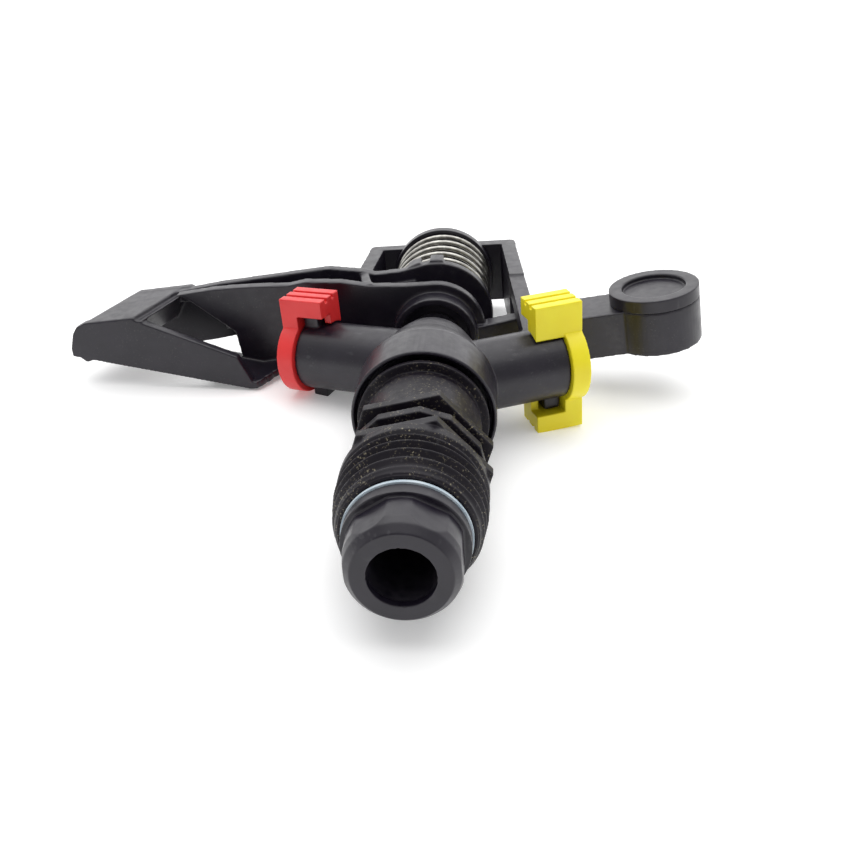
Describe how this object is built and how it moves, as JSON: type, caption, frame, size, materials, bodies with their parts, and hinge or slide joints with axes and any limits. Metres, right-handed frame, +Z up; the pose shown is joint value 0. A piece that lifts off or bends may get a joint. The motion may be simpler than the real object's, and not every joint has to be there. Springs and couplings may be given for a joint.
{
  "type": "impact sprinkler",
  "caption": "Impact sprinkler: male inlet on a rotating bearing, body with main and rear nozzles under a bridge, and a sprung impact arm with deflector and counterweight.",
  "frame": {"origin": "centre of the bearing nut's end face, where the water enters", "axes": "+Z up along the spin axis, -X along the main nozzle, +X along the rear nozzle, +Y to the side the deflector leaves when it swings back"},
  "size_m": [0.1165, 0.0232, 0.1144],
  "materials": {
    "black_plastic": "satin moulded acetal",
    "red_plastic": "satin",
    "yellow_plastic": "satin",
    "pale_washer": "smooth",
    "rubber": "matt",
    "spring_steel": "drawn wire",
    "brass": "turned",
    "zinc": "cast"
  },
  "bodies": {
    "sleeve": {"bearing_sleeve": "black_plastic", "rubber_seal_washer": "rubber", "slip_washer_inner": "pale_washer", "spring_washer_lower": "pale_washer"},
    "sprinkler": {"sprinkler_body": "black_plastic", "stem_tube": "black_plastic", "bearing_nut": "black_plastic", "slip_washer_lower": "pale_washer", "bearing_load_spring": "spring_steel", "spring_washer_upper": "pale_washer", "pivot_pin": "spring_steel", "spring_tension_cap": "black_plastic", "flow_straightener": "black_plastic", "arm_thrust_washer": "black_plastic"},
    "arm": {"impact_arm": "black_plastic", "arm_bushing": "brass", "counterweight_slug": "zinc", "counterweight_cap": "black_plastic", "arm_spring": "spring_steel"},
    "red_nozzle_cap": {"red_nozzle": "red_plastic", "red_nozzle_o_ring": "rubber"},
    "yellow_nozzle_cap": {"yellow_nozzle": "yellow_plastic", "yellow_nozzle_o_ring": "rubber"}
  },
  "joints": [
    {"name": "body_spin", "type": "hinge", "parent": "sleeve", "child": "sprinkler", "pos_m": [0, 0, 0.03], "axis": [0, 0, 1], "continuous": true},
    {"name": "arm_swing", "type": "hinge", "parent": "sprinkler", "child": "arm", "pos_m": [0, 0, 0.08], "axis": [0, 0, 1], "range_deg": [0, 100], "stiffness_Nm_per_rad": 0.0015, "springref_deg": -68.75, "deforming": ["arm_spring"]},
    {"name": "red_nozzle_twist", "type": "hinge", "parent": "sprinkler", "child": "red_nozzle_cap", "pos_m": [0, 0, 0.0602], "axis": [-0.9397, 0, 0.342], "range_deg": [0, 16]},
    {"name": "yellow_nozzle_twist", "type": "hinge", "parent": "sprinkler", "child": "yellow_nozzle_cap", "pos_m": [0, 0, 0.0525], "axis": [0.9397, 0, 0.342], "range_deg": [0, 16]}
  ]
}
